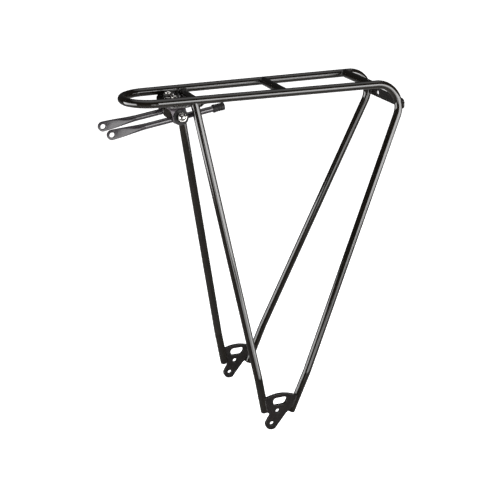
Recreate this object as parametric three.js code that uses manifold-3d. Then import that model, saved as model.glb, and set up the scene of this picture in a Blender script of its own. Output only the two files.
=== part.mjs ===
// Bicycle rear rack: a welded carrier frame of bent round tube, with two foot plates that bolt
// to the frame's dropout eyelets, a lamp plate at the back, and two adjustable stays at the
// front. Millimetres. +X points to the rear of the bicycle, +Y to its right side, +Z up.
// The origin lies midway between the lower frame-bolt holes of the two foot plates.

import * as THREE from 'three';
import { mergeVertices } from 'three/addons/utils/BufferGeometryUtils.js';
import Module from 'manifold-3d';

const wasm = await Module();
wasm.setup();

const { PI, atan, cos, sin, tan } = Math;
const LEFT = -1;
const RIGHT = 1;

// ---------------------------------------------------------------- driving dimensions

const GAP = 0.3; // air kept between pieces that touch on the real rack
const SIDES = 20; // facets round a tube or a rod
const BEND_STEPS = 12; // steps round each bend

// tube frame
const TUBE_R = 5;
const PLATFORM_Z = 410; // rail centrelines above the lower frame holes
const HOOP_X = -150.2; // foremost point of the hoop's centreline
const HOOP_R = 34;
const HOOP_HALF_WIDTH = 33.8;
const REAR_CORNER_X = 199.5; // where rail and rear-leg centrelines would meet
const REAR_HALF_WIDTH = 42;
const REAR_BEND_R = 28.4;
const FOOT_Z = 30; // height at which the splayed legs' lines are given
const FOOT_HALF_WIDTH = 82.3;
const REAR_LEG_FOOT_X = 35.2;
const REAR_LEG_END_Z = 10.3;
const FRONT_LEG_TOP_X = -74.2;
const FRONT_LEG_FOOT_X = -10.2;
const FRONT_LEG_END_Z = 15.3;
const FRONT_LEG_INSET = 1.2; // front leg tops lie this far inside the rail centrelines
const KNEE_Z = 62; // below this the legs stop splaying outwards
const KNEE_R = 40;
const CROSSBARS = {
  front: { x: -67.5, z: PLATFORM_Z - 4.7, halfLength: 32 }, // under the rails' inner sides
  middle: { x: 38.5, z: PLATFORM_Z, halfLength: 38 },
  rear: { x: 150, z: PLATFORM_Z, halfLength: 40.5 },
};

// foot plates
const FOOT_PLATE_Y = 81;
const FOOT_PLATE_THICKNESS = 4;
const FRAME_HOLE_R = 2.65;
const FOOT_BOSS_R = 8.6;
const FOOT_UPPER_HOLE = { x: 7.8, z: 16.2 };

// lamp plate
const LAMP_PLATE = { width: 95.5, height: 12.2, thickness: 1.6, z: 384.1 };
const LAMP_HOLE_SPACING = 50;
const LAMP_HOLE_R = 2.75;

// mounting plate under the front of the rails
const PLATE_THICKNESS = 3;
const PLATE_HALF_WIDTH = 33;
const PLATE_FRONT_X = -106.5; // at mid width
const PLATE_SHOULDER_X = -100; // at the rails
const PLATE_REAR_X = -81;

// the two M6 bolts that hold the stay brackets under the plate
const M6_R = 3;
const M6_CLEARANCE_R = M6_R + GAP;
const HEX_CORNER_R = 10 / 2 / cos(PI / 6);
const SWIVEL = { x: -91, y: 13.7 };
const SLOT_IN = 4; // bolt travel towards the middle
const SLOT_OUT = 1; // bolt travel towards the rail
const WASHER_THICKNESS = 1.4;

// stays, each a rod flattened to an eye at its front end
const STAY_Y = 22.3;
const STAY_R = 3.6;
const STAY_SLOPE = 8.9 * (PI / 180);
const EYE = { x: -170.6, z: 375.7, r: 6, hole: 3.1 };
const BLADE_THICKNESS = 3.2;
const BLADE_LENGTH = 42;
const STAY_LENGTH = 139; // eye centre to the end of the cap
const CAP_LENGTH = 14.7;
const CAP_R = 4.95;
const CAP_END = 2;

// clamp of each stay: distances along its axis are counted outwards from the stay's axis
const CLAMP_X = -90;
const CLAMP_TILT = 14 * (PI / 180); // the axis rises outwards
const CROSS_HOLE_R = STAY_R + 0.2;
const BARREL_R = 5.2;
const DISC_R = 7.5;
const DISC_SPAN = [-6.6, -4.6];
const CUP_SPAN = [-4.2, 7];
const CUP_FLOOR = 2.1;
const BRACKET_THICKNESS = 3;
const BRACKET_INNER = CUP_SPAN[1] + GAP;
const CLAMP_WASHER_R = 9;
const CLAMP_WASHER_INNER = BRACKET_INNER + BRACKET_THICKNESS + GAP;
const CAP_NUT_INNER = CLAMP_WASHER_INNER + WASHER_THICKNESS + GAP;
const CAP_NUT_HEX = 4.6;
const CAP_NUT_DOME_R = 4.7;

// ---------------------------------------------------------------- finishes

const finish = (color, roughness, metalness) => () =>
  new THREE.MeshStandardMaterial({ color, roughness, metalness });

const glossBlack = finish(0x17140f, 0.2, 0.35);
const satinBlack = finish(0x2b282a, 0.42, 0.4);
const brightZinc = finish(0xd9d8d4, 0.2, 1);
const blackRubber = finish(0x121212, 0.8, 0);

// ---------------------------------------------------------------- solids

function toSolid(geometry) {
  const bare = geometry.clone();
  bare.deleteAttribute('normal');
  bare.deleteAttribute('uv');
  const merged = mergeVertices(bare);
  const vertProperties = new Float32Array(merged.attributes.position.array);
  const triVerts = new Uint32Array(merged.index.array);
  return new wasm.Manifold(new wasm.Mesh({ numProp: 3, vertProperties, triVerts }));
}

function toGeometry(solid) {
  const mesh = solid.getMesh();
  const geometry = new THREE.BufferGeometry();
  geometry.setAttribute('position', new THREE.BufferAttribute(mesh.vertProperties, 3));
  geometry.setIndex(new THREE.BufferAttribute(mesh.triVerts, 1));
  geometry.computeVertexNormals();
  return geometry;
}

const cut = (body, ...tools) =>
  toGeometry(tools.reduce((solid, tool) => solid.subtract(toSolid(tool)), toSolid(body)));

const join = (body, ...others) =>
  toGeometry(others.reduce((solid, other) => solid.add(toSolid(other)), toSolid(body)));

const common = (body, ...others) =>
  toGeometry(others.reduce((solid, other) => solid.intersect(toSolid(other)), toSolid(body)));

// A centreline of straight runs joined by circular bends. A straight run is one step of the
// sweep and a bend is BEND_STEPS steps.
class BentPath extends THREE.Curve {
  constructor(corners, bendRadii = []) {
    super();
    this.stations = [corners[0]];
    bendRadii.forEach((radius, i) => this.addBend(corners.slice(i, i + 3), radius));
    this.stations.push(corners.at(-1));
  }

  addBend([before, corner, after], radius) {
    const inward = corner.clone().sub(before).normalize();
    const outward = after.clone().sub(corner).normalize();
    const turn = inward.angleTo(outward);
    const start = corner.clone().addScaledVector(inward, -radius * tan(turn / 2));
    const toCentre = outward.clone().sub(inward).normalize();
    const centre = corner.clone().addScaledVector(toCentre, radius / cos(turn / 2));
    const axis = inward.clone().cross(outward).normalize();
    for (let step = 0; step <= BEND_STEPS; step += 1) {
      const spoke = start.clone().sub(centre).applyAxisAngle(axis, (turn * step) / BEND_STEPS);
      this.stations.push(spoke.add(centre));
    }
  }

  get steps() {
    return this.stations.length - 1;
  }

  getUtoTmapping(u) {
    return u;
  }

  getPoint(t, target = new THREE.Vector3()) {
    const index = Math.min(Math.floor(t * this.steps), this.steps - 1);
    return target.lerpVectors(this.stations[index], this.stations[index + 1], t * this.steps - index);
  }
}

function sweep(path, radius) {
  const section = new THREE.Shape().absarc(0, 0, radius, 0, 2 * PI);
  const options = { extrudePath: path, steps: path.steps, curveSegments: SIDES / 2 };
  return new THREE.ExtrudeGeometry(section, options);
}

const rod = (from, to, radius) => sweep(new BentPath([from, to]), radius);

const point = (x, y, z) => new THREE.Vector3(x, y, z);

function pointAtZ(from, to, z) {
  return from.clone().lerp(to, (z - from.z) / (to.z - from.z));
}

// A sheet whose outline is drawn in X and Y, from z = 0 up.
function sheet(outline, thickness) {
  return new THREE.ExtrudeGeometry(outline, { depth: thickness, bevelEnabled: false, curveSegments: 8 });
}

// A sheet whose outline is drawn in X and Z, centred on y = 0.
const uprightSheet = (outline, thickness) =>
  sheet(outline, thickness).translate(0, 0, -thickness / 2).rotateX(PI / 2);

// A solid turned about Y, from pairs of radius and height that start and end on the axis.
function turned(pairs, segments = SIDES) {
  const profile = pairs.map(([radius, height]) => new THREE.Vector2(radius, height));
  return new THREE.LatheGeometry(profile, segments);
}

const disc = (radius, [low, high], segments = SIDES) =>
  turned([[0, low], [radius, low], [radius, high], [0, high]], segments);

const ring = (outerR, innerR, [low, high]) =>
  cut(disc(outerR, [low, high]), disc(innerR, [low - 1, high + 1]));

const hexPrism = ([low, high]) => disc(HEX_CORNER_R, [low, high], 6);

const hole = (x, y, radius) => new THREE.Path().absarc(x, y, radius, 0, 2 * PI);

// An outline through the given corners, each rounded to its own radius.
function rounded(corners, radii, Kind = THREE.Shape) {
  const outline = new Kind();
  corners.forEach((corner, i) => {
    const radius = radii[i];
    const before = corners.at(i - 1);
    const after = corners[(i + 1) % corners.length];
    const inward = corner.clone().sub(before).normalize();
    const outward = after.clone().sub(corner).normalize();
    const turn = Math.atan2(inward.cross(outward), inward.dot(outward));
    const start = corner.clone().addScaledVector(inward, -radius * Math.abs(tan(turn / 2)));
    const side = Math.sign(turn);
    const centre = start.clone().add(new THREE.Vector2(-inward.y, inward.x).multiplyScalar(side * radius));
    const startAngle = start.clone().sub(centre).angle();
    outline.absarc(centre.x, centre.y, radius, startAngle, startAngle + turn, turn < 0);
  });
  outline.closePath();
  return outline;
}

const corner2 = (x, y) => new THREE.Vector2(x, y);

const rack = new THREE.Group();

function add(name, geometry, material, parent = rack) {
  const mesh = new THREE.Mesh(geometry, material());
  mesh.name = name;
  parent.add(mesh);
}

// ---------------------------------------------------------------- tube frame

const hoopCorner = (side) => point(HOOP_X, side * HOOP_HALF_WIDTH, PLATFORM_Z);
const rearCorner = (side) => point(REAR_CORNER_X, side * REAR_HALF_WIDTH, PLATFORM_Z);
const rearFoot = (side) => point(REAR_LEG_FOOT_X, side * FOOT_HALF_WIDTH, FOOT_Z);
const frontFoot = (side) => point(FRONT_LEG_FOOT_X, side * FOOT_HALF_WIDTH, FOOT_Z);
const railAt = (side, x) =>
  hoopCorner(side).lerp(rearCorner(side), (x - HOOP_X) / (REAR_CORNER_X - HOOP_X));
const frontLegTop = (side) =>
  railAt(side, FRONT_LEG_TOP_X).add(point(0, -side * FRONT_LEG_INSET, 0));

// A leg splays outwards from its top to its knee, then runs down without splay.
function legCorners(top, foot, endZ) {
  const knee = pointAtZ(top, foot, KNEE_Z);
  return [top, knee, pointAtZ(top, foot, endZ).setY(knee.y)];
}

const rearLegCorners = (side, endZ) => legCorners(rearCorner(side), rearFoot(side), endZ);
const frontLegCorners = (side, endZ) => legCorners(frontLegTop(side), frontFoot(side), endZ);

const rail = (side, radius) => rod(hoopCorner(side), rearCorner(side), radius);
const leg = (corners, radius) => sweep(new BentPath(corners, [KNEE_R]), radius);

// Tools that cope a neighbour round a rail or a leg.
const railTool = (side) => rail(side, TUBE_R + GAP);
const rearLegTool = (side) => leg(rearLegCorners(side, REAR_LEG_END_Z - 1), TUBE_R + GAP);
const frontLegTool = (side) => leg(frontLegCorners(side, FRONT_LEG_END_Z - 1), TUBE_R + GAP);

function mainTube() {
  const corners = [
    ...rearLegCorners(LEFT, REAR_LEG_END_Z).reverse(),
    hoopCorner(LEFT),
    hoopCorner(RIGHT),
    ...rearLegCorners(RIGHT, REAR_LEG_END_Z),
  ];
  const bendRadii = [KNEE_R, REAR_BEND_R, HOOP_R, HOOP_R, REAR_BEND_R, KNEE_R];
  return sweep(new BentPath(corners, bendRadii), TUBE_R);
}

function crossbar({ x, z, halfLength }) {
  const bar = rod(point(x, -halfLength, z), point(x, halfLength, z), TUBE_R);
  return cut(bar, railTool(LEFT), railTool(RIGHT), frontLegTool(LEFT), frontLegTool(RIGHT));
}

add('main_tube', mainTube(), glossBlack);
for (const [place, bar] of Object.entries(CROSSBARS)) {
  add(`${place}_crossbar`, crossbar(bar), glossBlack);
}

// ---------------------------------------------------------------- foot plates

// Drawn in X and Z. The upper corners run in under the two legs, which cut them back.
function footPlateOutline() {
  const outline = new THREE.Shape();
  outline.moveTo(-3, 11);
  outline.lineTo(-3, 14);
  outline.lineTo(-8, 17);
  outline.lineTo(-11, 34.5);
  outline.quadraticCurveTo(12, 45, 34, 33);
  outline.lineTo(27, 16.5);
  outline.lineTo(19.5, 11.5);
  outline.absarc(0, 0, FOOT_BOSS_R, -PI / 3, -PI - 0.25, true);
  outline.quadraticCurveTo(-6.5, 6, -3, 11);
  const window = [corner2(3.6, 24.3), corner2(17.3, 24.3), corner2(22.5, 34.2), corner2(0, 34)];
  outline.holes.push(rounded(window, [1.5, 5, 3.5, 4.5], THREE.Path));
  outline.holes.push(hole(0, 0, FRAME_HOLE_R));
  outline.holes.push(hole(FOOT_UPPER_HOLE.x, FOOT_UPPER_HOLE.z, FRAME_HOLE_R));
  return outline;
}

function footPlate(side) {
  const plate = uprightSheet(footPlateOutline(), FOOT_PLATE_THICKNESS);
  return cut(plate.translate(0, side * FOOT_PLATE_Y, 0), rearLegTool(side), frontLegTool(side));
}

// ---------------------------------------------------------------- lamp plate

function lampPlate() {
  const halfWidth = LAMP_PLATE.width / 2;
  const halfHeight = LAMP_PLATE.height / 2;
  const corners = [
    corner2(-halfHeight, -halfWidth),
    corner2(halfHeight, -halfWidth),
    corner2(halfHeight, halfWidth),
    corner2(-halfHeight, halfWidth),
  ];
  const outline = rounded(corners, Array(4).fill(halfHeight * 0.9));
  for (const side of [LEFT, RIGHT]) {
    outline.holes.push(hole(0, (side * LAMP_HOLE_SPACING) / 2, LAMP_HOLE_R));
  }
  return sheet(outline, LAMP_PLATE.thickness).rotateY(PI / 2);
}

// The rear bend turns past vertical, so its rearmost point is a radius behind its centre.
function rearmostTubeX() {
  const inward = rearCorner(LEFT).sub(hoopCorner(LEFT));
  const outward = rearFoot(LEFT).sub(rearCorner(LEFT));
  return REAR_CORNER_X - REAR_BEND_R * tan(inward.angleTo(outward) / 2) + REAR_BEND_R + TUBE_R;
}

add('lamp_plate', lampPlate().translate(rearmostTubeX() + GAP, 0, LAMP_PLATE.z), satinBlack);

// ---------------------------------------------------------------- mounting plate

const PLATE_TOP_Z = PLATFORM_Z - TUBE_R - GAP;
const PLATE_BOTTOM_Z = PLATE_TOP_Z - PLATE_THICKNESS;

// A slot across the bicycle, as long as the bolt's travel.
function slot(side) {
  const low = Math.min(side * (SWIVEL.y - SLOT_IN), side * (SWIVEL.y + SLOT_OUT));
  const path = new THREE.Path();
  path.absarc(SWIVEL.x, low, M6_CLEARANCE_R, PI, 2 * PI);
  path.absarc(SWIVEL.x, low + SLOT_IN + SLOT_OUT, M6_CLEARANCE_R, 0, PI);
  path.closePath();
  return path;
}

function mountingPlate() {
  const bulgeX = 2 * PLATE_FRONT_X - PLATE_SHOULDER_X;
  const outline = new THREE.Shape();
  outline.moveTo(PLATE_REAR_X, -PLATE_HALF_WIDTH);
  outline.lineTo(PLATE_REAR_X, PLATE_HALF_WIDTH);
  outline.lineTo(PLATE_SHOULDER_X, PLATE_HALF_WIDTH);
  outline.quadraticCurveTo(bulgeX, 0, PLATE_SHOULDER_X, -PLATE_HALF_WIDTH);
  outline.holes.push(slot(LEFT), slot(RIGHT));
  const plate = sheet(outline, PLATE_THICKNESS).translate(0, 0, PLATE_BOTTOM_Z);
  return cut(plate, frontLegTool(LEFT), frontLegTool(RIGHT));
}

add('mounting_plate', mountingPlate(), satinBlack);

// ---------------------------------------------------------------- stay brackets

const BRACKET_TOP_Z = PLATE_BOTTOM_Z - GAP;
const BRACKET_BOTTOM_Z = BRACKET_TOP_Z - BRACKET_THICKNESS;

const clampCentre = (side) =>
  point(CLAMP_X, side * STAY_Y, EYE.z + (CLAMP_X - EYE.x) * tan(STAY_SLOPE));
const clampAxis = (side) => point(0, side * cos(CLAMP_TILT), sin(CLAMP_TILT));

// The group whose Y is the clamp's axis, outwards, and whose origin lies on the stay's axis.
function clampGroup(side) {
  const group = new THREE.Group();
  group.position.copy(clampCentre(side));
  group.rotation.x = side === RIGHT ? CLAMP_TILT : PI - CLAMP_TILT;
  group.updateMatrix();
  return group;
}

// Section in Y and Z of the right-hand bracket: a flat top, a bend and a splayed lower leg.
function bracketProfile() {
  const reach = clampCentre(RIGHT).addScaledVector(clampAxis(RIGHT), BRACKET_INNER);
  const along = corner2(sin(CLAMP_TILT), -cos(CLAMP_TILT));
  const out = corner2(cos(CLAMP_TILT), sin(CLAMP_TILT));
  const innerFoot = corner2(reach.y, reach.z).addScaledVector(along, 12);
  const outerFoot = innerFoot.clone().addScaledVector(out, BRACKET_THICKNESS);
  const atHeight = (foot, z) => foot.clone().addScaledVector(along, (z - foot.y) / along.y);
  const innerBend = atHeight(innerFoot, BRACKET_BOTTOM_Z);
  const outerBend = atHeight(outerFoot, BRACKET_TOP_Z);
  const profile = new THREE.Shape();
  profile.moveTo(SWIVEL.y - 7, BRACKET_BOTTOM_Z);
  profile.lineTo(innerBend.x, innerBend.y);
  profile.lineTo(innerFoot.x, innerFoot.y);
  profile.lineTo(outerFoot.x, outerFoot.y);
  const bendStart = atHeight(outerFoot, BRACKET_TOP_Z - BRACKET_THICKNESS);
  profile.lineTo(bendStart.x, bendStart.y);
  profile.quadraticCurveTo(outerBend.x, outerBend.y, outerBend.x - BRACKET_THICKNESS, BRACKET_TOP_Z);
  profile.lineTo(SWIVEL.y - 7, BRACKET_TOP_Z);
  return profile;
}

// Seen along the clamp's axis: straight sides above, a round end about the clamp below.
function bracketOutline() {
  const width = 18.4;
  const endR = width / 2;
  const lean = SWIVEL.x - 1 - CLAMP_X;
  const outline = new THREE.Shape();
  outline.absarc(0, 0, endR, PI, 2 * PI);
  outline.lineTo(lean + endR, 9);
  outline.lineTo(lean + endR, 40);
  outline.lineTo(lean - endR, 40);
  outline.lineTo(lean - endR, 9);
  return outline;
}

function angleBracket(side) {
  const width = 40;
  const profile = sheet(bracketProfile(), width).translate(0, 0, -width / 2);
  // The profile's X and Y become the rack's Y and Z, and it is extruded along the rack's X.
  profile.applyMatrix4(new THREE.Matrix4().set(0, 0, 1, SWIVEL.x, 1, 0, 0, 0, 0, 1, 0, 0, 0, 0, 0, 1));
  const prism = uprightSheet(bracketOutline(), 80).applyMatrix4(clampGroup(RIGHT).matrix);
  const pivotHole = disc(M6_CLEARANCE_R, [0, 20]).applyMatrix4(clampGroup(RIGHT).matrix);
  const boltHole = disc(M6_CLEARANCE_R, [-20, 20]).rotateX(PI / 2);
  boltHole.translate(SWIVEL.x, SWIVEL.y, BRACKET_TOP_Z);
  const bracket = cut(common(profile, prism), pivotHole, boltHole);
  return side === RIGHT ? bracket : mirrored(bracket);
}

// The same solid on the other side of the bicycle, with its faces turned back outwards.
function mirrored(geometry) {
  const copy = geometry.clone().scale(1, -1, 1);
  const { array } = copy.index;
  for (let i = 0; i < array.length; i += 3) {
    [array[i], array[i + 1]] = [array[i + 1], array[i]];
  }
  return copy;
}

// ---------------------------------------------------------------- bracket bolts

const BOLT_HEAD = { r: 5.6, height: 2.9 };
const LOCKNUT_HEX = 4.4;
const LOCKNUT_COLLAR = 1.5;
const LOCKNUT_BOTTOM_Z = PLATE_TOP_Z + GAP + WASHER_THICKNESS + GAP;
const BOLT_TIP_Z = LOCKNUT_BOTTOM_Z + LOCKNUT_HEX + LOCKNUT_COLLAR + 0.8;

function mountingBolt() {
  const headTop = BRACKET_BOTTOM_Z - GAP;
  return turned([
    [0, headTop - BOLT_HEAD.height],
    [BOLT_HEAD.r * 0.6, headTop - BOLT_HEAD.height],
    [BOLT_HEAD.r, headTop - 1],
    [BOLT_HEAD.r, headTop],
    [M6_R, headTop],
    [M6_R, BOLT_TIP_Z - 0.6],
    [M6_R - 0.6, BOLT_TIP_Z],
    [0, BOLT_TIP_Z],
  ]).rotateX(PI / 2);
}

function mountingWasher() {
  const low = PLATE_TOP_Z + GAP;
  return ring(6.2, M6_CLEARANCE_R, [low, low + WASHER_THICKNESS]).rotateX(PI / 2);
}

function locknut() {
  const hexTop = LOCKNUT_BOTTOM_Z + LOCKNUT_HEX;
  const body = join(
    hexPrism([LOCKNUT_BOTTOM_Z, hexTop]),
    disc(4.4, [hexTop - 1, hexTop + LOCKNUT_COLLAR]),
  );
  return cut(body, disc(M6_CLEARANCE_R, [LOCKNUT_BOTTOM_Z - 1, BOLT_TIP_Z + 1])).rotateX(PI / 2);
}

// ---------------------------------------------------------------- stay clamps

// The stay's own path through the clamp, in the clamp group's axes.
function crossHole(side, radius) {
  const group = clampGroup(side);
  const direction = point(cos(STAY_SLOPE), 0, sin(STAY_SLOPE)).applyQuaternion(group.quaternion.invert());
  return rod(direction.clone().multiplyScalar(-15), direction.clone().multiplyScalar(15), radius);
}

function eyeBolt(side) {
  const tip = CAP_NUT_INNER + CAP_NUT_HEX + 1;
  const body = turned([
    [0, DISC_SPAN[0]],
    [DISC_R - 0.8, DISC_SPAN[0]],
    [DISC_R, DISC_SPAN[0] + 0.6],
    [DISC_R, DISC_SPAN[1]],
    [BARREL_R, DISC_SPAN[1]],
    [BARREL_R, CUP_SPAN[1] - CUP_FLOOR - GAP],
    [M6_R, CUP_SPAN[1] - CUP_FLOOR - GAP],
    [M6_R, tip],
    [0, tip],
  ]);
  return cut(body, crossHole(side, CROSS_HOLE_R));
}

function clampCup(side) {
  const [rim, floor] = CUP_SPAN;
  const hollow = disc(BARREL_R + GAP, [rim - 1, floor - CUP_FLOOR]);
  const shankHole = disc(M6_CLEARANCE_R, [rim, floor + 1]);
  return cut(disc(DISC_R, CUP_SPAN), hollow, shankHole, crossHole(side, CROSS_HOLE_R + 0.1));
}

const clampWasher = () =>
  ring(CLAMP_WASHER_R, M6_CLEARANCE_R, [CLAMP_WASHER_INNER, CLAMP_WASHER_INNER + WASHER_THICKNESS]);

function capNut() {
  const hexEnd = CAP_NUT_INNER + CAP_NUT_HEX;
  const dome = new THREE.SphereGeometry(CAP_NUT_DOME_R, SIDES, SIDES / 2).translate(0, hexEnd - 0.8, 0);
  const body = join(hexPrism([CAP_NUT_INNER, hexEnd]), dome);
  return cut(body, disc(M6_CLEARANCE_R, [CAP_NUT_INNER - CAP_NUT_DOME_R, hexEnd + 1 + GAP]));
}

// ---------------------------------------------------------------- stays

// Stay axes: X along the rod from the eye's centre, Z up across it.
function stayGroup(side) {
  const group = new THREE.Group();
  group.position.set(EYE.x, side * STAY_Y, EYE.z);
  group.rotation.y = -STAY_SLOPE;
  return group;
}

function bladeSide() {
  const flank = atan((EYE.r - STAY_R) / BLADE_LENGTH);
  const outline = new THREE.Shape();
  outline.absarc(0, 0, EYE.r, PI / 2 - flank, 1.5 * PI + flank);
  outline.lineTo(BLADE_LENGTH, -STAY_R);
  outline.lineTo(BLADE_LENGTH, STAY_R);
  return outline;
}

function bladeTop() {
  const half = BLADE_THICKNESS / 2;
  const flatEnd = BLADE_LENGTH * 0.45;
  const outline = new THREE.Shape();
  outline.moveTo(-EYE.r - 1, -half);
  outline.lineTo(flatEnd, -half);
  outline.lineTo(BLADE_LENGTH, -STAY_R);
  outline.lineTo(BLADE_LENGTH, STAY_R);
  outline.lineTo(flatEnd, half);
  outline.lineTo(-EYE.r - 1, half);
  return outline;
}

function stay() {
  const envelope = turned([
    [0, -EYE.r - 1],
    [EYE.r + 2, -EYE.r - 1],
    [EYE.r + 2, 0],
    [STAY_R, BLADE_LENGTH],
    [0, BLADE_LENGTH],
  ]).rotateZ(-PI / 2);
  const topSheet = sheet(bladeTop(), 4 * EYE.r).translate(0, 0, -2 * EYE.r);
  const blade = common(envelope, uprightSheet(bladeSide(), 4 * STAY_R), topSheet);
  const round = rod(point(BLADE_LENGTH - 1, 0, 0), point(STAY_LENGTH - CAP_END - GAP, 0, 0), STAY_R);
  return cut(join(blade, round), disc(EYE.hole, [-EYE.r, EYE.r]));
}

function stayCap() {
  const start = STAY_LENGTH - CAP_LENGTH;
  const floor = STAY_LENGTH - CAP_END;
  return turned([
    [STAY_R + GAP, start],
    [CAP_R, start],
    [CAP_R, STAY_LENGTH - 1],
    [CAP_R - 1, STAY_LENGTH],
    [0, STAY_LENGTH],
    [0, floor],
    [STAY_R + GAP, floor],
    [STAY_R + GAP, start],
  ]).rotateZ(-PI / 2);
}

// ---------------------------------------------------------------- both sides

for (const [name, side] of [['left', LEFT], ['right', RIGHT]]) {
  const legBlank = leg(frontLegCorners(side, FRONT_LEG_END_Z), TUBE_R);
  add(`front_leg_${name}`, cut(legBlank, railTool(side)), glossBlack);
  add(`foot_plate_${name}`, footPlate(side), satinBlack);
  add(`angle_bracket_${name}`, angleBracket(side), satinBlack);

  const boltPlace = new THREE.Group();
  boltPlace.position.set(SWIVEL.x, side * SWIVEL.y, 0);
  add(`mounting_bolt_${name}`, mountingBolt(), brightZinc, boltPlace);
  add(`mounting_washer_${name}`, mountingWasher(), brightZinc, boltPlace);
  add(`locknut_${name}`, locknut(), brightZinc, boltPlace);
  rack.add(boltPlace);

  const clamp = clampGroup(side);
  add(`eye_bolt_${name}`, eyeBolt(side), satinBlack, clamp);
  add(`clamp_cup_${name}`, clampCup(side), satinBlack, clamp);
  add(`clamp_washer_${name}`, clampWasher(), blackRubber, clamp);
  add(`cap_nut_${name}`, capNut(), brightZinc, clamp);
  rack.add(clamp);

  const stayPlace = stayGroup(side);
  add(`stay_${name}`, stay(), glossBlack, stayPlace);
  add(`stay_cap_${name}`, stayCap(), blackRubber, stayPlace);
  rack.add(stayPlace);
}

export default rack;
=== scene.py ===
from math import ceil, cos, pi, radians, sin, sqrt, tan

import bmesh
import bpy
from mathutils import Matrix, Vector


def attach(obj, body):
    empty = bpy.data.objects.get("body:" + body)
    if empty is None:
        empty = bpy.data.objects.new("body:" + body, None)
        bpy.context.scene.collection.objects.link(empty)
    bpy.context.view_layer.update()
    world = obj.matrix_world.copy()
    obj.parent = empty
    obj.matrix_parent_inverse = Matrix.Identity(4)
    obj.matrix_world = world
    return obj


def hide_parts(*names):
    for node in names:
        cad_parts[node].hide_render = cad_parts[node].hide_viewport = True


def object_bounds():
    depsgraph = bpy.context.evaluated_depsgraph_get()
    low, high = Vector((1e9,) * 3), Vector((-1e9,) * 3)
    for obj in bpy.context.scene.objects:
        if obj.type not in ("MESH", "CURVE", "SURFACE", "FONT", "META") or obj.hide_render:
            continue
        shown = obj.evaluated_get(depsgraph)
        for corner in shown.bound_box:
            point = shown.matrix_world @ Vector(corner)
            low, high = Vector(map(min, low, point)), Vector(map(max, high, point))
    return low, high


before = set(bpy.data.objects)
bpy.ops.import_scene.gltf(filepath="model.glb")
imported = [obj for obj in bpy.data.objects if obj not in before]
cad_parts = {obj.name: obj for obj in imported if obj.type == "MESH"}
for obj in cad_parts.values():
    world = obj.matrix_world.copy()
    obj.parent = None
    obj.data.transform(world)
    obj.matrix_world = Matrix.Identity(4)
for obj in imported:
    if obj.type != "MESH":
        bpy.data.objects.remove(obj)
cad_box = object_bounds()

MM = 0.001
LEFT = -1
RIGHT = 1
SIDE_NAMES = {LEFT: "left", RIGHT: "right"}

# ---------------------------------------------------------------- dimensions, as in the CAD

GAP = 0.3  # between neighbouring pieces

TUBE_R = 5
PLATFORM_Z = 410
HOOP_X = -150.2
HOOP_R = 34
HOOP_HALF_WIDTH = 33.8
REAR_CORNER_X = 199.5
REAR_HALF_WIDTH = 42
REAR_BEND_R = 28.4
FOOT_Z = 30
FOOT_HALF_WIDTH = 82.3
REAR_LEG_FOOT_X = 35.2
REAR_LEG_END_Z = 10.3
FRONT_LEG_TOP_X = -74.2
FRONT_LEG_FOOT_X = -10.2
FRONT_LEG_END_Z = 15.3
FRONT_LEG_INSET = 1.2
KNEE_Z = 62
KNEE_R = 40
CROSSBARS = {  # x, height and half length of the centreline
    "front": (-67.5, PLATFORM_Z - 4.7, 32),
    "middle": (38.5, PLATFORM_Z, 38),
    "rear": (150, PLATFORM_Z, 40.5),
}

FOOT_PLATE_Y = 81
FOOT_PLATE_THICKNESS = 4
FRAME_HOLE_R = 2.65
FOOT_BOSS_R = 8.6
FOOT_UPPER_HOLE = (7.8, 16.2)
FOOT_WELD_HEIGHTS = (17, 33)

LAMP_PLATE_WIDTH = 95.5
LAMP_PLATE_HEIGHT = 12.2
LAMP_PLATE_THICKNESS = 1.6
LAMP_PLATE_Z = 384.1
LAMP_HOLE_Y = 25
LAMP_HOLE_R = 2.75

PLATE_THICKNESS = 3
PLATE_HALF_WIDTH = 33
PLATE_FRONT_X = -106.5
PLATE_SHOULDER_X = -100
PLATE_REAR_X = -81
PLATE_TOP_Z = PLATFORM_Z - TUBE_R - GAP
PLATE_BOTTOM_Z = PLATE_TOP_Z - PLATE_THICKNESS

M6_R = 3
M6_CLEARANCE_R = M6_R + GAP
HEX_FLATS = 10
NUT_SIDES = 72  # points on one ring of a nut, twelve to a flat
CHAMFER_INSET = 0.15  # from a flat in to the round end face
SWIVEL_X = -91
SWIVEL_Y = 13.7
SLOT_IN = 4
SLOT_OUT = 1
WASHER_THICKNESS = 1.4
MOUNTING_WASHER_R = 6.2

STAY_Y = 22.3
STAY_R = 3.6
STAY_SLOPE = radians(8.9)
EYE_X = -170.6
EYE_Z = 375.7
EYE_R = 6
EYE_HOLE_R = 3.1
BLADE_THICKNESS = 3.2
BLADE_LENGTH = 42
STAY_LENGTH = 139
CAP_LENGTH = 14.7
CAP_R = 4.95
CAP_END = 2

CLAMP_X = -90
CLAMP_TILT = radians(14)
CROSS_HOLE_R = STAY_R + 0.2
BARREL_R = 5.2
DISC_R = 7.5
DISC_SPAN = (-6.6, -4.6)
CUP_SPAN = (-4.2, 7)
CUP_FLOOR = 2.1
BRACKET_THICKNESS = 3
BRACKET_HALF_WIDTH = 9.2
BRACKET_INNER = CUP_SPAN[1] + GAP
BRACKET_TOP_Z = PLATE_BOTTOM_Z - GAP
BRACKET_BOTTOM_Z = BRACKET_TOP_Z - BRACKET_THICKNESS
CLAMP_WASHER_R = 9
CLAMP_WASHER_INNER = BRACKET_INNER + BRACKET_THICKNESS + GAP
CAP_NUT_INNER = CLAMP_WASHER_INNER + WASHER_THICKNESS + GAP
CAP_NUT_HEX = 4.6
CAP_NUT_DOME_R = 4.7

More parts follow.
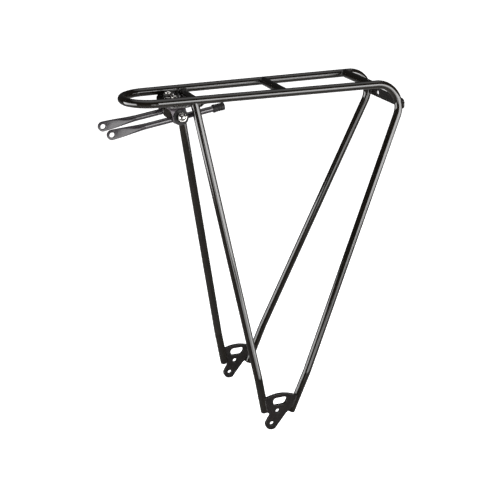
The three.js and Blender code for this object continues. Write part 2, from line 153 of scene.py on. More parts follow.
BOLT_HEAD_R = 5.6
BOLT_HEAD_HEIGHT = 2.9
LOCKNUT_BOTTOM_Z = PLATE_TOP_Z + GAP + WASHER_THICKNESS + GAP
LOCKNUT_HEX = 4.4
LOCKNUT_COLLAR_R = 4.4
LOCKNUT_COLLAR = 1.5
BOLT_TIP_Z = LOCKNUT_BOTTOM_Z + LOCKNUT_HEX + LOCKNUT_COLLAR + 0.8

CROSSBAR_BEAD_R = 2.3  # half the width of a weld bead
LEG_BEAD_R = 2.2
FOOT_BEAD_R = 0.9
LAMP_BEAD_R = 2
PLATE_BEAD_R = 1.5
BEAD_STEP = 0.35  # length of one step of a bead
BEAD_RIPPLE = 1.9  # from one ripple of a bead to the next
BEAD_RIPPLE_DEPTH = 0.12  # as a share of half its width
BEAD_HEIGHT = 0.75  # as a share of half its width

# strength of the light from each height, as (sine of the elevation, strength)
SKY = (
    (-1, 0.6), (-0.8, 0.5), (-0.4, 0.25), (-0.1, 0.08),
    (0.2, 0.04), (0.75, 0.06), (0.88, 1.2), (1, 1.6),
)

Y_AXIS = Vector((0, 1, 0))
Z_AXIS = Vector((0, 0, 1))


def hoop_corner(side):
    return Vector((HOOP_X, side * HOOP_HALF_WIDTH, PLATFORM_Z))


def rear_corner(side):
    return Vector((REAR_CORNER_X, side * REAR_HALF_WIDTH, PLATFORM_Z))


def rail_at(side, x):
    share = (x - HOOP_X) / (REAR_CORNER_X - HOOP_X)
    return hoop_corner(side).lerp(rear_corner(side), share)


def leg_point(top, foot_x, side, z):
    """The point at height z on a leg that starts at top and stops splaying at its knee."""
    foot = Vector((foot_x, side * FOOT_HALF_WIDTH, FOOT_Z))
    place = foot.lerp(top, (z - FOOT_Z) / (top.z - FOOT_Z))
    place.y = foot.lerp(top, (max(z, KNEE_Z) - FOOT_Z) / (top.z - FOOT_Z)).y
    return place


def rear_leg_point(side, z):
    return leg_point(rear_corner(side), REAR_LEG_FOOT_X, side, z)


def front_leg_top(side):
    return rail_at(side, FRONT_LEG_TOP_X) - side * FRONT_LEG_INSET * Y_AXIS


def front_leg_point(side, z):
    return leg_point(front_leg_top(side), FRONT_LEG_FOOT_X, side, z)


# ---------------------------------------------------------------- solids
# A solid is a pair: its points in millimetres, and its faces as rows of point numbers.


def mesh_of(solid):
    """A mesh of the solid at its own scale, with its faces turned outwards."""
    points, faces = solid
    mesh = bpy.data.meshes.new("solid")
    mesh.from_pydata(points, [], faces)
    work = bmesh.new()
    work.from_mesh(mesh)
    bmesh.ops.remove_doubles(work, verts=work.verts, dist=0.002)
    bmesh.ops.dissolve_degenerate(work, edges=work.edges, dist=0.001)
    bmesh.ops.recalc_face_normals(work, faces=work.faces)
    work.to_mesh(mesh)
    work.free()
    return mesh


def solid_of(thing):
    """The solid of an object as its modifiers leave it."""
    bpy.context.view_layer.update()
    shown = thing.evaluated_get(bpy.context.evaluated_depsgraph_get())
    mesh = bpy.data.meshes.new_from_object(shown)
    points = [v.co.copy() for v in mesh.vertices]
    faces = [tuple(f.vertices) for f in mesh.polygons]
    bpy.data.meshes.remove(mesh)
    return points, faces


def helper(data):
    """A passing object, for modifiers and outlines."""
    thing = bpy.data.objects.new("helper", data)
    bpy.context.scene.collection.objects.link(thing)
    return thing


def carved(body, *tools):
    """The body with the tools cut out of it."""
    things = [helper(mesh_of(solid)) for solid in (body, *tools)]
    for tool in things[1:]:
        cut = things[0].modifiers.new("cut", "BOOLEAN")
        cut.object = tool
        cut.solver = "EXACT"
    solid = solid_of(things[0])
    for thing in things:
        bpy.data.objects.remove(thing)
    return solid


def merged(*solids):
    points = []
    faces = []
    for more_points, more_faces in solids:
        start = len(points)
        points += more_points
        faces += [tuple(start + i for i in face) for face in more_faces]
    return points, faces


def placed(solid, matrix):
    points, faces = solid
    return [matrix @ point for point in points], faces


def mirrored(solid):
    return placed(solid, Matrix.Diagonal((1, -1, 1, 1)))


def lofted(rings, closed=False):
    """Skins a row of rings of points, and caps both ends unless the row closes on itself."""
    count = len(rings[0])
    points = [point for ring in rings for point in ring]
    faces = []
    for i in range(len(rings) if closed else len(rings) - 1):
        here = i * count
        there = (i + 1) % len(rings) * count
        for k in range(count):
            after = (k + 1) % count
            faces.append((here + k, here + after, there + after, there + k))
    if not closed:
        faces.append(tuple(reversed(range(count))))
        faces.append(tuple(range(len(points) - count, len(points))))
    return points, faces


def corner_arc(before, corner, after, radius, steps):
    """Points round a corner of a path, on a circle that touches both of its arms."""
    inward = (corner - before).normalized()
    outward = (after - corner).normalized()
    turn = inward.angle(outward)
    if radius == 0 or turn < 0.001:
        return [corner]
    start = corner - inward * radius * tan(turn / 2)
    centre = corner + (outward - inward).normalized() * (radius / cos(turn / 2))
    angles = [turn * k / steps for k in range(steps + 1)]
    return [centre + (start - centre) * cos(a) + inward * radius * sin(a) for a in angles]


def rounded_path(corners, radii, steps=6, closed=False):
    """A path through corners, each rounded to its own radius. An open path keeps its ends."""
    corners = [Vector(corner) for corner in corners]
    points = []
    for i, (corner, radius) in enumerate(zip(corners, radii)):
        if not closed and i in (0, len(corners) - 1):
            points.append(corner)
        else:
            after = corners[(i + 1) % len(corners)]
            points += corner_arc(corners[i - 1], corner, after, radius, steps)
    return points


def circle(centre, radius, steps=32, start=0.0, turn=2 * pi):
    """Points on a circle or, where turn is less, on an arc with both of its ends."""
    count = steps if abs(turn) >= 2 * pi else steps + 1
    angles = [start + turn * k / steps for k in range(count)]
    return [Vector((centre[0] + radius * cos(a), centre[1] + radius * sin(a))) for a in angles]


def quadratic(start, control, end, steps=10):
    start, control, end = Vector(start), Vector(control), Vector(end)
    shares = [k / steps for k in range(1, steps)]
    return [start.lerp(control, t).lerp(control.lerp(end, t), t) for t in shares]


def spokes(ahead, first, sides):
    """Unit directions all round a path's own direction."""
    across = ahead.cross(first)
    angles = [2 * pi * k / sides for k in range(sides)]
    return [first * cos(a) + across * sin(a) for a in angles]


def bar(path, radius, end_rounding, sides=36):
    """A round bar along a path of points, with the corners of both ends rounded."""
    start = (path[1] - path[0]).normalized()
    end = (path[-1] - path[-2]).normalized()
    arcs = [radians(a) for a in (0, 22.5, 45, 67.5, 90)]
    depth = [end_rounding * (1 - cos(a)) for a in arcs]
    size = [radius - end_rounding * (1 - sin(a)) for a in arcs]
    stations = [(path[0] + start * d, r) for d, r in zip(depth, size)]
    stations += [(point, radius) for point in path[1:-1]]
    stations += [(path[-1] - end * d, r) for d, r in reversed(list(zip(depth, size)))]
    first = start.orthogonal().normalized()
    rings = []
    for i, (centre, size_here) in enumerate(stations):
        before = stations[max(i - 1, 0)][0]
        after = stations[min(i + 1, len(stations) - 1)][0]
        ahead = (after - before).normalized()
        first = (first - ahead * first.dot(ahead)).normalized()
        rings.append([centre + spoke * size_here for spoke in spokes(ahead, first, sides)])
    return lofted(rings)


def round_rings(profile, sides):
    """Rings of points about Z from (radius, height) pairs."""
    angles = [2 * pi * k / sides for k in range(sides)]
    return [[Vector((r * cos(a), r * sin(a), h)) for a in angles] for r, h in profile]


def turned(profile, closed=False, sides=48):
    """A solid turned about Z from (radius, height) pairs. An open profile is capped flat."""
    return lofted(round_rings(profile, sides), closed)


def rounded_profile(corners, closed=False):
    """Rounds the corners of a turned profile, given as (radius, height, corner radius)."""
    path = rounded_path([c[:2] for c in corners], [c[2] for c in corners], 4, closed)
    return [tuple(point) for point in path]


def hex_rings(bottom, top, chamfered_face_r):
    """Rings of a hexagon nut's outside about Z, with both ends chamfered at 30 degrees."""
    apothem = HEX_FLATS / 2
    angles = [2 * pi * k / NUT_SIDES for k in range(NUT_SIDES)]
    edge = [apothem / cos((a + pi / 6) % (pi / 3) - pi / 6) for a in angles]
    drop = [max(r - chamfered_face_r, 0) * tan(pi / 6) for r in edge]
    rings = round_rings([(chamfered_face_r, bottom)], NUT_SIDES)
    for height, sign in ((bottom, 1), (top, -1)):
        ring = [(r * cos(a), r * sin(a), height + sign * d) for a, r, d in zip(angles, edge, drop)]
        rings.append([Vector(point) for point in ring])
    rings.append([point + Z_AXIS * (top - bottom) for point in rings[0]])
    return rings


def threaded(radius, low, high, pitch=1.0, depth=0.45, sides=36):
    """A screw thread about Z whose top end is chamfered."""
    chamfer = 0.6
    steps_per_turn = 8
    steps = ceil((high - low) / pitch * steps_per_turn)
    rings = []
    for i in range(steps + 1):
        height = low + (high - low) * i / steps
        limit = radius - max(0, chamfer - (high - height))
        ring = []
        for k in range(sides):
            flank = abs(2 * ((height / pitch + k / sides) % 1) - 1)
            size = min(radius - depth * flank, limit)
            angle = 2 * pi * k / sides
            ring.append(Vector((size * cos(angle), size * sin(angle), height)))
        rings.append(ring)
    return lofted(rings)


def sheet(outline, holes, thickness, edge=0.45):
    """A flat sheet drawn in X and Y and centred on z = 0, with rounded edges and holes."""
    curve = bpy.data.curves.new("outline", "CURVE")
    curve.dimensions = "2D"
    curve.fill_mode = "BOTH"
    curve.extrude = thickness / 2 - edge
    curve.bevel_depth = edge
    curve.bevel_resolution = 2
    curve.offset = -edge
    for loop in (outline, *holes):
        spline = curve.splines.new("POLY")
        spline.points.add(len(loop) - 1)
        for slot, point in zip(spline.points, loop):
            slot.co = (point[0], point[1], 0, 1)
        spline.use_cyclic_u = True
    thing = helper(curve)
    solid = solid_of(thing)
    bpy.data.objects.remove(thing)
    return solid


def bead(track, radius, closed=True):
    """A rippled weld bead along a row of (point, outward direction) pairs.

    An open bead tapers at both ends.
    """
    sides = 12
    angles = [2 * pi * k / sides for k in range(sides)]
    last = len(track) - 1
    rings = []
    travelled = 0
    for i, (centre, out) in enumerate(track):
        before = track[i - 1][0] if closed or i else centre
        after = track[(i + 1) % len(track)][0] if closed or i < last else centre
        ahead = (after - before).normalized()
        out = (out - ahead * out.dot(ahead)).normalized()
        travelled += (centre - before).length
        size = radius * (1 + BEAD_RIPPLE_DEPTH * cos(2 * pi * travelled / BEAD_RIPPLE))
        if not closed:
            size *= sqrt(min(1, (min(i, last - i) + 0.5) * BEAD_STEP / 2))
        across = ahead.cross(out)
        rings.append([centre + (across * cos(a) + out * sin(a) * BEAD_HEIGHT) * size for a in angles])
    return lofted(rings, closed)


def joint_bead(centre, along, rail_point, rail_along, radius):
    """The bead round a tube that leaves a rail at centre. It sinks where their sides are flush."""
    across = along.orthogonal().normalized()
    seam_length = 2 * pi * TUBE_R * 1.25  # more than the tube's girth, because the seam isn't flat
    count = ceil(seam_length / BEAD_STEP)
    track = []
    for radial in spokes(along, across, count):
        off = centre + radial * TUBE_R - rail_point
        off -= rail_along * off.dot(rail_along)
        flow = along - rail_along * along.dot(rail_along)
        half = off.dot(flow)
        size = flow.length_squared
        spread = max(half * half - size * (off.length_squared - TUBE_R**2), 0)
        travel = max((sqrt(spread) - half) / size, 0)
        normal = (off + flow * travel).normalized()
        out = radial + normal  # 2 long where the sides are flush, 1.4 where they stand square
        flush = min(max((out.length - 1.3) / 0.7, 0), 1)
        point = centre + radial * TUBE_R + along * travel - out.normalized() * radius * flush
        track.append((point, out.normalized()))
    return bead(track, radius)


def straight_bead(start, end, out, radius):
    """A bead from start to end that faces out."""
    start, end = Vector(start), Vector(end)
    steps = ceil((end - start).length / BEAD_STEP)
    track = [(start.lerp(end, k / steps), Vector(out)) for k in range(steps + 1)]
    return bead(track, radius, closed=False)


# ---------------------------------------------------------------- materials


def node(tree, kind, **settings):
    """A node with its properties and, by their names, its inputs set."""
    made = tree.nodes.new("ShaderNode" + kind)
    for key, value in settings.items():
        if key in made.inputs:
            made.inputs[key].default_value = value
        else:
            setattr(made, key, value)
    return made


def noise(tree, place, scale, detail):
    made = node(tree, "TexNoise", Scale=scale, Detail=detail)
    tree.links.new(place, made.inputs["Vector"])
    return made.outputs["Fac"]


def ranged(tree, value, low, high, to_low, to_high):
    """The value with low to high stretched to to_low to to_high."""
    made = node(tree, "MapRange")
    made.inputs["From Min"].default_value = low
    made.inputs["From Max"].default_value = high
    made.inputs["To Min"].default_value = to_low
    made.inputs["To Max"].default_value = to_high
    tree.links.new(value, made.inputs["Value"])
    return made.outputs["Result"]


def blended(tree, share, first, second):
    """A colour from first to second, either of which may be a colour or a socket."""
    made = node(tree, "Mix", data_type="RGBA")
    tree.links.new(share, made.inputs["Factor"])
    for key, colour in ((6, first), (7, second)):  # the two colour inputs
        if isinstance(colour, tuple):
            made.inputs[key].default_value = (*colour, 1)
        else:
            tree.links.new(colour, made.inputs[key])
    return made.outputs[2]


def bump(tree, shader, height, distance):
    made = node(tree, "Bump", Distance=distance, Strength=1.0)
    tree.links.new(height, made.inputs["Height"])
    tree.links.new(made.outputs["Normal"], shader.inputs["Normal"])


def shader_of(material):
    return material.node_tree.nodes["Principled BSDF"]


def finished(name, colours, roughness, grain, metallic=0.0, specular=0.5, rubbed=None):
    """A finish that drifts between two colours and two roughnesses, with a fine grain.

    grain is the scale and the depth in metres of its bumps. rubbed is the colour that shows
    where corners are worn.
    """
    material = bpy.data.materials.new(name)
    material.use_nodes = True
    tree = material.node_tree
    shader = shader_of(material)
    shader.inputs["Metallic"].default_value = metallic
    shader.inputs["Specular IOR Level"].default_value = specular
    place = node(tree, "TexCoord").outputs["Object"]
    drift = ranged(tree, noise(tree, place, 42, 4), 0.35, 0.65, 0, 1)
    colour = blended(tree, drift, *colours)
    if rubbed:
        corners = ranged(tree, node(tree, "NewGeometry").outputs["Pointiness"], 0.53, 0.62, 0, 1)
        patchy = ranged(tree, noise(tree, place, 260, 5), 0.48, 0.62, 0, 1)
        wear = node(tree, "Math", operation="MULTIPLY")
        tree.links.new(corners, wear.inputs[0])
        tree.links.new(patchy, wear.inputs[1])
        colour = blended(tree, wear.outputs[0], colour, rubbed)
    tree.links.new(colour, shader.inputs["Base Color"])
    scuffs = ranged(tree, noise(tree, place, 150, 6), 0.35, 0.7, *roughness)
    tree.links.new(scuffs, shader.inputs["Roughness"])
    bump(tree, shader, noise(tree, place, grain[0], 2), grain[1])
    return material


def gloss_black():
    """Glossy black powder coat with a faint orange peel."""
    return finished(
        "gloss_black",
        colours=((0.0035, 0.0027, 0.0019), (0.0060, 0.0046, 0.0032)),
        roughness=(0.06, 0.11),
        grain=(360, 0.000005),
        rubbed=(0.03, 0.027, 0.024),
    )


def satin_black():
    """Satin black coat on the welded plates, duller than the tubes."""
    return finished(
        "satin_black",
        colours=((0.004, 0.0034, 0.0032), (0.008, 0.0066, 0.0062)),
        roughness=(0.18, 0.27),
        grain=(900, 0.00002),
        specular=0.32,
        rubbed=(0.06, 0.054, 0.05),
    )


def grey_satin():
    """Dark grey satin coat of the brackets."""
    return finished(
        "grey_satin",
        colours=((0.052, 0.044, 0.050), (0.078, 0.067, 0.075)),
        roughness=(0.26, 0.36),
        grain=(800, 0.00002),
        metallic=0.3,
        rubbed=(0.2, 0.18, 0.18),
    )


def stay_paint():
    """Dark glossy coat of the stays, with a purple cast."""
    return finished(
        "stay_paint",
        colours=((0.012, 0.010, 0.012), (0.022, 0.019, 0.022)),
        roughness=(0.06, 0.11),
        grain=(500, 0.000005),
        rubbed=(0.10, 0.09, 0.09),
    )


def bright_zinc():
    """Bright plated steel with faint clouding."""
    return finished(
        "bright_zinc",
        colours=((0.34, 0.33, 0.31), (0.48, 0.47, 0.45)),
        roughness=(0.14, 0.26),
        grain=(600, 0.00001),
        metallic=1.0,
    )


def matte_plastic():
    """Matte black moulded plastic."""
    return finished(
        "matte_plastic",
        colours=((0.006, 0.0055, 0.0055), (0.010, 0.0092, 0.0092)),
        roughness=(0.44, 0.58),
        grain=(1500, 0.00004),
        specular=0.15,
        rubbed=(0.03, 0.03, 0.03),
    )


def pale_floor():
    """White paper, lifted a little so that it reads as white all over."""
    material = finished(
        "pale_floor",
        colours=((0.90, 0.90, 0.90), (0.92, 0.92, 0.92)),
        roughness=(0.8, 0.9),
        grain=(300, 0.00005),
    )
    shader = shader_of(material)
    shader.inputs["Emission Color"].default_value = (1, 1, 1, 1)
    shader.inputs["Emission Strength"].default_value = 0.75
    return material


GLOSS = gloss_black()
SATIN = satin_black()
GREY = grey_satin()
STAY = stay_paint()
ZINC = bright_zinc()
PLASTIC = matte_plastic()


# ---------------------------------------------------------------- pieces


def piece(name, solid, material, body, nodes=()):
    """A finished piece that rides on a body and stands for some of the CAD's nodes."""
    mesh = mesh_of(solid)
    mesh.transform(Matrix.Scale(MM, 4))
    mesh.materials.append(material)
    mesh.shade_smooth()
    mesh.set_sharp_from_angle(angle=radians(32))
    mesh.name = name
    made = bpy.data.objects.new(name, mesh)
    bpy.context.scene.collection.objects.link(made)
    made.modifiers.new("flat_faces_stay_flat", "WEIGHTED_NORMAL").keep_sharp = True
    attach(made, body)
    if nodes:
        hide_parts(*nodes)
    return made


def frame_piece(name, solid, material, slot, *nodes):
    return piece(name, solid, material, "rack_frame", nodes)


# tube frame


def main_tube():
    """One tube: left leg, left rail, hoop, right rail and right leg."""
    corners = [
        rear_leg_point(LEFT, REAR_LEG_END_Z),
        rear_leg_point(LEFT, KNEE_Z),
        rear_corner(LEFT),
        hoop_corner(LEFT),
        hoop_corner(RIGHT),
        rear_corner(RIGHT),
        rear_leg_point(RIGHT, KNEE_Z),
        rear_leg_point(RIGHT, REAR_LEG_END_Z),
    ]
    radii = (0, KNEE_R, REAR_BEND_R, HOOP_R, HOOP_R, REAR_BEND_R, KNEE_R, 0)
    return bar(rounded_path(corners, radii, steps=24), TUBE_R, 1.5)


def front_leg(side):
    corners = [front_leg_top(side), *(front_leg_point(side, z) for z in (KNEE_Z, FRONT_LEG_END_Z))]
    return bar(rounded_path(corners, (0, KNEE_R, 0), steps=12), TUBE_R, 1.5)


def crossbar(x, z, half_length):
    return bar([Vector((x, -half_length, z)), Vector((x, half_length, z))], TUBE_R, 1)


def leg_weld(side):
    """The bead where a front leg meets its rail."""
    top = front_leg_top(side)
    along = (front_leg_point(side, KNEE_Z) - top).normalized()
    rail_along = (rear_corner(side) - hoop_corner(side)).normalized()
    return joint_bead(top, along, rail_at(side, FRONT_LEG_TOP_X), rail_along, LEG_BEAD_R)


def crossbar_welds(x, z, half_length):
    """The beads at both ends of a crossbar."""
    beads = []
    for side in (LEFT, RIGHT):
        end = Vector((x, side * half_length, z))
        rail_along = (rear_corner(side) - hoop_corner(side)).normalized()
        rail_point = rail_at(side, x)
        beads.append(joint_bead(end, -side * Y_AXIS, rail_point, rail_along, CROSSBAR_BEAD_R))
    return merged(*beads)


# plates


def foot_plate(side):
    """The dropout plate, drawn in X and Z, whose upper corners run into the two legs."""
    outline = [Vector((-3, 11)), Vector((-3, 14)), Vector((-8, 17)), Vector((-11, 34.5))]
    outline += quadratic((-11, 34.5), (12, 45), (34, 33))
    outline += [Vector((34, 33)), Vector((27, 16.5)), Vector((19.5, 11.5))]
    boss_end = pi + 0.25
    outline += circle((0, 0), FOOT_BOSS_R, 28, -pi / 3, pi / 3 - boss_end)
    outline += quadratic(outline[-1], (-6.5, 6), (-3, 11))
    corners = [(3.6, 24.3), (17.3, 24.3), (22.5, 34.2), (0, 34)]
    window = rounded_path(corners, [1.5, 5, 3.5, 4.5], closed=True)
    holes = [window, circle((0, 0), FRAME_HOLE_R), circle(FOOT_UPPER_HOLE, FRAME_HOLE_R)]
    plate = sheet(outline, holes, FOOT_PLATE_THICKNESS)
    upright = Matrix.Translation((0, side * FOOT_PLATE_Y, 0)) @ Matrix.Rotation(pi / 2, 4, "X")
    return placed(plate, upright)


def foot_welds(side):
    """Beads along both legs, on both faces of the foot plate."""
    beads = []
    for face in (-1, 1):
        y = side * FOOT_PLATE_Y + face * FOOT_PLATE_THICKNESS / 2
        for leg, inner in ((front_leg_point, 1), (rear_leg_point, -1)):
            ends = []
            for centre in (leg(side, z) for z in FOOT_WELD_HEIGHTS):
                reach = sqrt(max(TUBE_R**2 - (y - centre.y) ** 2, 1))
                ends.append((centre.x + inner * reach, y, centre.z))
            beads.append(straight_bead(*ends, (inner, face, 0), FOOT_BEAD_R))
    return merged(*beads)


def rearmost_tube_x():
    """The bend's rearmost point, a radius behind its centre because it turns past vertical."""
    inward = rear_corner(LEFT) - hoop_corner(LEFT)
    outward = rear_leg_point(LEFT, KNEE_Z) - rear_corner(LEFT)
    return REAR_CORNER_X - REAR_BEND_R * tan(inward.angle(outward) / 2) + REAR_BEND_R + TUBE_R


def lamp_plate():
    half_width = LAMP_PLATE_WIDTH / 2
    half_height = LAMP_PLATE_HEIGHT / 2
    signs = [(-1, -1), (1, -1), (1, 1), (-1, 1)]
    corners = [(a * half_height, b * half_width) for a, b in signs]
    outline = rounded_path(corners, [half_height * 0.9] * 4, steps=8, closed=True)
    holes = [circle((0, side * LAMP_HOLE_Y), LAMP_HOLE_R) for side in SIDE_NAMES]
    plate = sheet(outline, holes, LAMP_PLATE_THICKNESS)
    centre = (rearmost_tube_x() + GAP + LAMP_PLATE_THICKNESS / 2, 0, LAMP_PLATE_Z)
    return placed(plate, Matrix.Translation(centre) @ Matrix.Rotation(pi / 2, 4, "Y"))


def lamp_welds():
    """Upright beads on both sides of each rear bend, against the lamp plate's front."""
    off_centre = 4.2
    half_length = 5.2
    x = rearmost_tube_x() + GAP - 1.3
    beads = []
    for side in SIDE_NAMES:
        leg = rear_leg_point(side, LAMP_PLATE_Z)
        for out in (-1, 1):
            y = leg.y + out * off_centre
            start = (x, y, LAMP_PLATE_Z - half_length)
            end = (x, y, LAMP_PLATE_Z + half_length)
            beads.append(straight_bead(start, end, (-1, out, 0), LAMP_BEAD_R))
    return merged(*beads)


def swivel_slot(side):
    inner = side * (SWIVEL_Y - SLOT_IN)
    outer = side * (SWIVEL_Y + SLOT_OUT)
    low, high = sorted((inner, outer))
    slot = circle((SWIVEL_X, low), M6_CLEARANCE_R, 14, pi, pi)
    return slot + circle((SWIVEL_X, high), M6_CLEARANCE_R, 14, 0, pi)


def mounting_plate():
    bulge_x = 2 * PLATE_FRONT_X - PLATE_SHOULDER_X
    half = PLATE_HALF_WIDTH
    outline = [Vector((PLATE_REAR_X, -half)), Vector((PLATE_REAR_X, half))]
    outline.append(Vector((PLATE_SHOULDER_X, half)))
    outline += quadratic((PLATE_SHOULDER_X, half), (bulge_x, 0), (PLATE_SHOULDER_X, -half), 20)
    outline.append(Vector((PLATE_SHOULDER_X, -half)))
    plate = sheet(outline, [swivel_slot(LEFT), swivel_slot(RIGHT)], PLATE_THICKNESS)
    return placed(plate, Matrix.Translation((0, 0, PLATE_TOP_Z - PLATE_THICKNESS / 2)))


def plate_welds():
    """Beads along the plate's two ends, under the rails and 1 mm short of its corners."""
    beads = []
    for side in SIDE_NAMES:
        start = (PLATE_SHOULDER_X + 1, side * PLATE_HALF_WIDTH, PLATE_TOP_Z)
        end = (PLATE_REAR_X - 1, side * PLATE_HALF_WIDTH, PLATE_TOP_Z)
        beads.append(straight_bead(start, end, (0, side, 0.3), PLATE_BEAD_R))
    return merged(*beads)


# bracket, with the bolt, washer and nut that hold it


def clamp_centre(side):
    z = EYE_Z + (CLAMP_X - EYE_X) * tan(STAY_SLOPE)
    return Vector((CLAMP_X, side * STAY_Y, z))


def clamp_axis(side):
    return Vector((0, side * cos(CLAMP_TILT), sin(CLAMP_TILT)))


def clamp_place(side):
    """From axes whose Z is the clamp's axis, outwards, to the rack's axes."""
    turn = clamp_axis(side).to_track_quat("Z", "X").to_matrix().to_4x4()
    return Matrix.Translation(clamp_centre(side)) @ turn


def bisected(solid, heights):
    """The same solid with its faces cut along lines of constant y."""
    mesh = mesh_of(solid)
    work = bmesh.new()
    work.from_mesh(mesh)
    for height in heights:
        everything = work.verts[:] + work.edges[:] + work.faces[:]
        bmesh.ops.bisect_plane(work, geom=everything, plane_co=(0, height, 0), plane_no=Y_AXIS)
    work.to_mesh(mesh)
    work.free()
    thing = helper(mesh)
    cut = solid_of(thing)
    bpy.data.objects.remove(thing)
    return cut


def right_bracket():
    """A sheet strip bent inwards over a radius: the splayed leg below, the flange above."""
    mid_radius = 3.2
    steps = 10
    flange_tip_y = SWIVEL_Y - 7
    shift_at = 9  # how far above the clamp's axis the strip's edges turn towards the bolt
    shift_r = 4
    tip_r = 1.5
    out = clamp_axis(RIGHT)
    up = Vector((0, -sin(CLAMP_TILT), cos(CLAMP_TILT)))
    root = clamp_centre(RIGHT) + out * (BRACKET_INNER + BRACKET_THICKNESS / 2)
    turn = pi / 2 - CLAMP_TILT
    flange_z = BRACKET_TOP_Z - BRACKET_THICKNESS / 2
    bend_start = (flange_z - root.z) / up.z - mid_radius * tan(turn / 2)
    bend_length = mid_radius * turn
    pivot = root + up * bend_start - out * mid_radius

    def bent(point):
        x, along, lift = point
        if along < bend_start:
            place = root + up * along + out * lift
        else:
            angle = min(along - bend_start, bend_length) / mid_radius
            place = pivot + (out * cos(angle) + up * sin(angle)) * (mid_radius + lift)
            place.y -= max(along - bend_start - bend_length, 0)
        place.x = x
        return place

    flange_start_y = pivot.y + mid_radius * (out.y * cos(turn) + up.y * sin(turn))
    flange_origin = bend_start + bend_length + flange_start_y
    bolt_at = flange_origin - SWIVEL_Y
    strip_end = flange_origin - flange_tip_y
    half = BRACKET_HALF_WIDTH
    top_x = SWIVEL_X - 1
    corners = [
        (CLAMP_X + half, 0), (top_x + half, shift_at), (top_x + half, strip_end),
        (top_x - half, strip_end), (top_x - half, shift_at), (CLAMP_X - half, 0),
    ]
    outline = circle((CLAMP_X, 0), half, 28, pi, pi)
    outline += rounded_path(corners, [0, shift_r, tip_r, tip_r, shift_r, 0])[1:-1]
    holes = [circle((CLAMP_X, 0), M6_CLEARANCE_R), circle((SWIVEL_X, bolt_at), M6_CLEARANCE_R)]
    strip = sheet(outline, holes, BRACKET_THICKNESS)
    cuts = [bend_start + bend_length * k / steps for k in range(steps + 1)]
    points, faces = bisected(strip, cuts)
    return [bent(point) for point in points], faces


def angle_bracket(side):
    bracket = right_bracket()
    return bracket if side == RIGHT else mirrored(bracket)


def swivel_place(side):
    return Matrix.Translation((SWIVEL_X, side * SWIVEL_Y, 0))


def mounting_bolt():
    """A round head under the bracket, with a threaded shank up through plate and nut."""
    socket_r = 2.2
    socket_depth = 1.7
    head_top = BRACKET_BOTTOM_Z - GAP
    head_bottom = head_top - BOLT_HEAD_HEIGHT
    profile = rounded_profile([
        (socket_r, head_bottom, 0),
        (BOLT_HEAD_R * 0.75, head_bottom, 1.5),
        (BOLT_HEAD_R, head_top - 0.9, 1.2),
        (BOLT_HEAD_R, head_top, 0.3),
        (M6_R - 0.5, head_top, 0),
    ])
    socket = turned([(socket_r, head_bottom - 1), (socket_r, head_bottom + socket_depth)], sides=6)
    return merged(carved(turned(profile), socket), threaded(M6_R, head_top - 0.4, BOLT_TIP_Z))


def washer(outer_r, low):
    high = low + WASHER_THICKNESS
    inner_r = M6_CLEARANCE_R
    edge = 0.3
    profile = [
        (inner_r, low), (outer_r - edge, low), (outer_r, low + edge),
        (outer_r, high - edge), (outer_r - edge, high), (inner_r, high),
    ]
    return turned(profile, closed=True, sides=64)


def locknut():
    """A hexagon nut with the round collar that holds its locking ring."""
    hex_top = LOCKNUT_BOTTOM_Z + LOCKNUT_HEX
    top = hex_top + LOCKNUT_COLLAR
    outside = hex_rings(LOCKNUT_BOTTOM_Z, hex_top, HEX_FLATS / 2 - CHAMFER_INSET)
    collar = rounded_profile([
        (LOCKNUT_COLLAR_R, hex_top, 0),
        (LOCKNUT_COLLAR_R, top, 0.7),
        (M6_CLEARANCE_R + 0.1, top, 0),
    ])
    bore = [(M6_CLEARANCE_R, top - 0.4), (M6_CLEARANCE_R, LOCKNUT_BOTTOM_Z)]
    return lofted(outside + round_rings(collar + bore, NUT_SIDES), closed=True)


# clamp: eye bolt, cup, washer and cap nut


def stay_hole(side, radius):
    """The stay's own path through the clamp, in the rack's axes."""
    along = Vector((cos(STAY_SLOPE), 0, sin(STAY_SLOPE)))
    centre = clamp_centre(side)
    return bar([centre - along * 20, centre + along * 20], radius, 0.1)


def eye_bolt(side):
    """A disc and a barrel with a cross hole for the stay, and a threaded shank outwards."""
    shoulder = CUP_SPAN[1] - CUP_FLOOR - GAP
    disc_out, disc_in = DISC_SPAN
    tip = CAP_NUT_INNER + CAP_NUT_HEX + 1
    body = turned(rounded_profile([
        (1.5, disc_out, 0),
        (DISC_R, disc_out, 0.8),
        (DISC_R, disc_in, 0.3),
        (BARREL_R, disc_in, 0.2),
        (BARREL_R, shoulder, 0.5),
        (M6_R, shoulder, 0),
    ]) + [(M6_R, shoulder + 1.5)])
    shank = threaded(M6_R, shoulder, tip)
    return carved(placed(merged(body, shank), clamp_place(side)), stay_hole(side, CROSS_HOLE_R))


def clamp_cup(side):
    """A cup with a groove round its outside, whose floor the eye bolt's shank goes through."""
    rim, floor = CUP_SPAN
    hollow_r = BARREL_R + GAP
    groove = floor - 4
    groove_r = DISC_R - 0.8
    profile = rounded_profile([
        (hollow_r, floor - CUP_FLOOR, 0.3),
        (hollow_r, rim, 0.2),
        (DISC_R, rim, 0.4),
        (DISC_R, groove - 1.2, 0.4),
        (groove_r, groove - 0.6, 0.2),
        (groove_r, groove + 0.6, 0.2),
        (DISC_R, groove + 1.2, 0.4),
        (DISC_R, floor, 0.6),
        (M6_CLEARANCE_R, floor, 0.2),
        (M6_CLEARANCE_R, floor - CUP_FLOOR, 0.2),
    ], closed=True)
    cup = turned(profile, closed=True)
    return carved(placed(cup, clamp_place(side)), stay_hole(side, CROSS_HOLE_R + 0.1))


